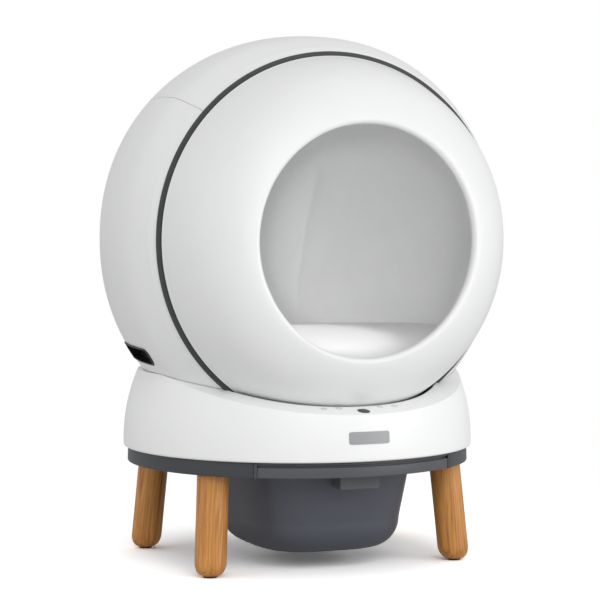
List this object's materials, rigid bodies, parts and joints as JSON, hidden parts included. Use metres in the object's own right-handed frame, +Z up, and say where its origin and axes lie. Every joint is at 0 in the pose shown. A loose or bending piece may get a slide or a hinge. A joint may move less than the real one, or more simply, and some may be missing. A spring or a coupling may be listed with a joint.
{
  "type": "self cleaning litter box",
  "caption": "Globe shaped litter box: a drum with a round entrance turns in a fixed housing, drops waste through a chute to a drawer bin, and stands on splayed legs.",
  "frame": {"origin": "on the floor under the middle of the round base", "axes": "+Z up, -Y to the front where the entrance is, +X to the right seen from the front's own side"},
  "size_m": [0.5704, 0.4967, 0.7373],
  "materials": {
    "white_plastic": "satin white moulding",
    "liner_plastic": "grey moulding",
    "dark_plastic": "dark grey, fine texture",
    "black_plastic": "smooth black",
    "slate_plastic": "slate, fine texture",
    "oiled_wood": "oiled hardwood, straight grain",
    "black_rubber": "matt",
    "plated_steel": "zinc plated",
    "circuit_board": "green board",
    "plate_grey": "blank plate",
    "light_pipe": "clear",
    "charcoal": "charcoal filter pad"
  },
  "bodies": {
    "stand": {"base_shell": "white_plastic", "button_board": "circuit_board", "carbon_filter": "charcoal", "control_board": "circuit_board", "drawer_runner_left": "plated_steel", "drawer_runner_right": "plated_steel", "drive_motor": "plated_steel", "drop_chute": "dark_plastic", "foot_pad_front_left": "black_rubber", "foot_pad_front_right": "black_rubber", "foot_pad_rear_left": "black_rubber", "foot_pad_rear_right": "black_rubber", "gearbox": "dark_plastic", "grip_cup_left": "black_plastic", "grip_cup_right": "black_plastic", "homing_sensor": "dark_plastic", "housing_body": "white_plastic", "leg_front_left": "oiled_wood", "leg_front_right": "oiled_wood", "leg_rear_left": "oiled_wood", "leg_rear_right": "oiled_wood", "leg_stud_front_left": "plated_steel", "leg_stud_front_right": "plated_steel", "leg_stud_rear_left": "plated_steel", "leg_stud_rear_right": "plated_steel", "light_pipe_1": "light_pipe", "light_pipe_2": "light_pipe", "light_pipe_3": "light_pipe", "light_pipe_4": "light_pipe", "motor_bracket": "dark_plastic", "name_plate_blank": "plate_grey", "platform": "dark_plastic", "power_inlet": "black_plastic", "roller_axle_left": "plated_steel", "roller_axle_right": "plated_steel", "roller_cradle_left": "dark_plastic", "roller_cradle_right": "dark_plastic", "sensor_window": "black_plastic"},
    "drum": {"drum_front_shell": "white_plastic", "drum_joint_ring": "dark_plastic", "drum_rear_shell": "white_plastic", "drum_liner_front": "liner_plastic", "drum_liner_rear": "liner_plastic", "sifter_panel": "liner_plastic", "litter_deck": "white_plastic", "ring_gear": "dark_plastic", "homing_magnet": "plated_steel"},
    "drive_pinion": {"drive_pinion": "plated_steel"},
    "drawer": {"drawer_frame": "dark_plastic", "waste_bin": "slate_plastic", "bin_grip": "dark_plastic"},
    "top_cover": {"housing_top_cover": "white_plastic"},
    "roller_left_front": {"roller_left_front": "black_rubber"},
    "roller_left_rear": {"roller_left_rear": "black_rubber"},
    "roller_right_front": {"roller_right_front": "black_rubber"},
    "roller_right_rear": {"roller_right_rear": "black_rubber"},
    "button_1": {"button_1": "white_plastic"},
    "button_2": {"button_2": "white_plastic"},
    "button_3": {"button_3": "white_plastic"},
    "button_4": {"button_4": "white_plastic"}
  },
  "joints": [
    {"name": "drum_spin", "type": "hinge", "parent": "stand", "child": "drum", "pos_m": [0, -0.0114, 0.4521], "axis": [0, 1, 0], "continuous": true},
    {"name": "pinion_spin", "type": "hinge", "parent": "stand", "child": "drive_pinion", "pos_m": [0.15195, 0.072, 0.20894], "axis": [0, 1, 0], "continuous": true},
    {"name": "drawer_slide", "type": "slide", "parent": "stand", "child": "drawer", "axis": [0, -1, 0], "range_m": [0, 0.26]},
    {"name": "top_cover_lift", "type": "slide", "parent": "stand", "child": "top_cover", "axis": [0, 0, 1], "range_m": [0, 0.1]},
    {"name": "roller_left_front_spin", "type": "hinge", "parent": "stand", "child": "roller_left_front", "pos_m": [-0.16211, -0.0449, 0.22897], "axis": [0, 1, 0], "continuous": true},
    {"name": "roller_left_rear_spin", "type": "hinge", "parent": "stand", "child": "roller_left_rear", "pos_m": [-0.16211, 0.0221, 0.22897], "axis": [0, 1, 0], "continuous": true},
    {"name": "roller_right_front_spin", "type": "hinge", "parent": "stand", "child": "roller_right_front", "pos_m": [0.16211, -0.0449, 0.22897], "axis": [0, 1, 0], "continuous": true},
    {"name": "roller_right_rear_spin", "type": "hinge", "parent": "stand", "child": "roller_right_rear", "pos_m": [0.16211, 0.0221, 0.22897], "axis": [0, 1, 0], "continuous": true},
    {"name": "button_1_press", "type": "slide", "parent": "stand", "child": "button_1", "axis": [0, 0.2489, -0.9685], "range_m": [0, 0.0008], "stiffness_N_per_m": 500, "springref_m": -0.0004},
    {"name": "button_2_press", "type": "slide", "parent": "stand", "child": "button_2", "axis": [0, 0.2489, -0.9685], "range_m": [0, 0.0008], "stiffness_N_per_m": 500, "springref_m": -0.0004},
    {"name": "button_3_press", "type": "slide", "parent": "stand", "child": "button_3", "axis": [0, 0.2489, -0.9685], "range_m": [0, 0.0008], "stiffness_N_per_m": 500, "springref_m": -0.0004},
    {"name": "button_4_press", "type": "slide", "parent": "stand", "child": "button_4", "axis": [0, 0.2489, -0.9685], "range_m": [0, 0.0008], "stiffness_N_per_m": 500, "springref_m": -0.0004}
  ],
  "couplings": [
    {"joint": "pinion_spin", "follows": "drum_spin", "ratio": -7.5},
    {"joint": "roller_left_front_spin", "follows": "drum_spin", "ratio": -16.219},
    {"joint": "roller_left_rear_spin", "follows": "drum_spin", "ratio": -16.219},
    {"joint": "roller_right_front_spin", "follows": "drum_spin", "ratio": -16.219},
    {"joint": "roller_right_rear_spin", "follows": "drum_spin", "ratio": -16.219}
  ]
}
